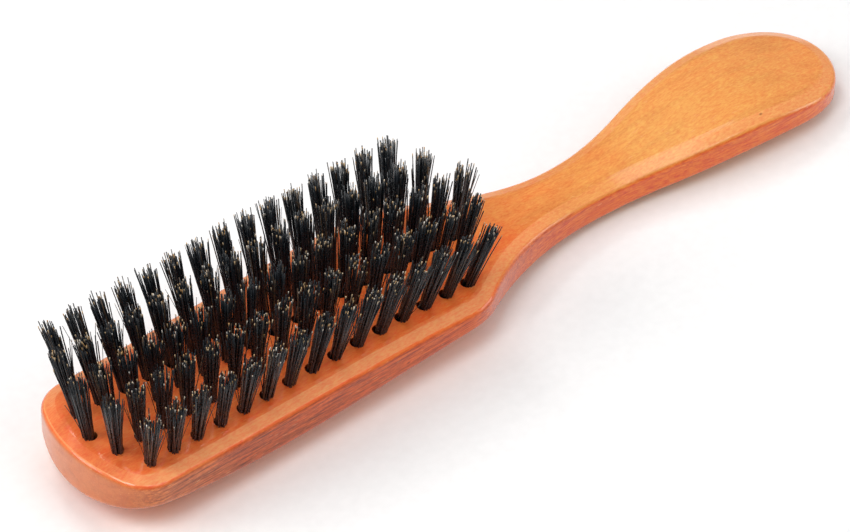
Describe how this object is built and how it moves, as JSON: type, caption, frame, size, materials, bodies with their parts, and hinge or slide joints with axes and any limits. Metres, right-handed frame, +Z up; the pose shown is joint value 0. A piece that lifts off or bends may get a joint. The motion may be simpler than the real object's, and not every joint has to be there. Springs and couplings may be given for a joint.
{
  "type": "wooden hairbrush",
  "caption": "Long flat hairbrush: a blunt-nosed bored wooden head with fanned bristle tufts, running through a narrow neck into a rounded paddle handle.",
  "frame": {"origin": "centre of the bounding box in plan, on the surface the brush lies on", "axes": "+X from the nose of the head to the end of the handle, +Y across the brush, +Z up with the bristles pointing up and the crowned back down"},
  "size_m": [0.2206, 0.0418, 0.0376],
  "materials": {
    "lacquered_wood": "clear satin lacquer over pale pear-like wood",
    "bristle": null,
    "anchor_wire": "plain flat wire"
  },
  "bodies": {
    "root": {"brush_body": "lacquered_wood", "tuft_rank_01": "bristle", "tuft_rank_02": "bristle", "tuft_rank_03": "bristle", "tuft_rank_04": "bristle", "tuft_rank_05": "bristle", "tuft_rank_06": "bristle", "tuft_rank_07": "bristle", "tuft_rank_08": "bristle", "tuft_rank_09": "bristle", "tuft_rank_10": "bristle", "tuft_rank_11": "bristle", "tuft_rank_12": "bristle", "tuft_rank_13": "bristle", "tuft_rank_14": "bristle", "tuft_rank_15": "bristle", "tuft_rank_16": "bristle", "tuft_rank_17": "bristle", "anchor_rank_01": "anchor_wire", "anchor_rank_02": "anchor_wire", "anchor_rank_03": "anchor_wire", "anchor_rank_04": "anchor_wire", "anchor_rank_05": "anchor_wire", "anchor_rank_06": "anchor_wire", "anchor_rank_07": "anchor_wire", "anchor_rank_08": "anchor_wire", "anchor_rank_09": "anchor_wire", "anchor_rank_10": "anchor_wire", "anchor_rank_11": "anchor_wire", "anchor_rank_12": "anchor_wire", "anchor_rank_13": "anchor_wire", "anchor_rank_14": "anchor_wire", "anchor_rank_15": "anchor_wire", "anchor_rank_16": "anchor_wire", "anchor_rank_17": "anchor_wire"}
  },
  "joints": []
}
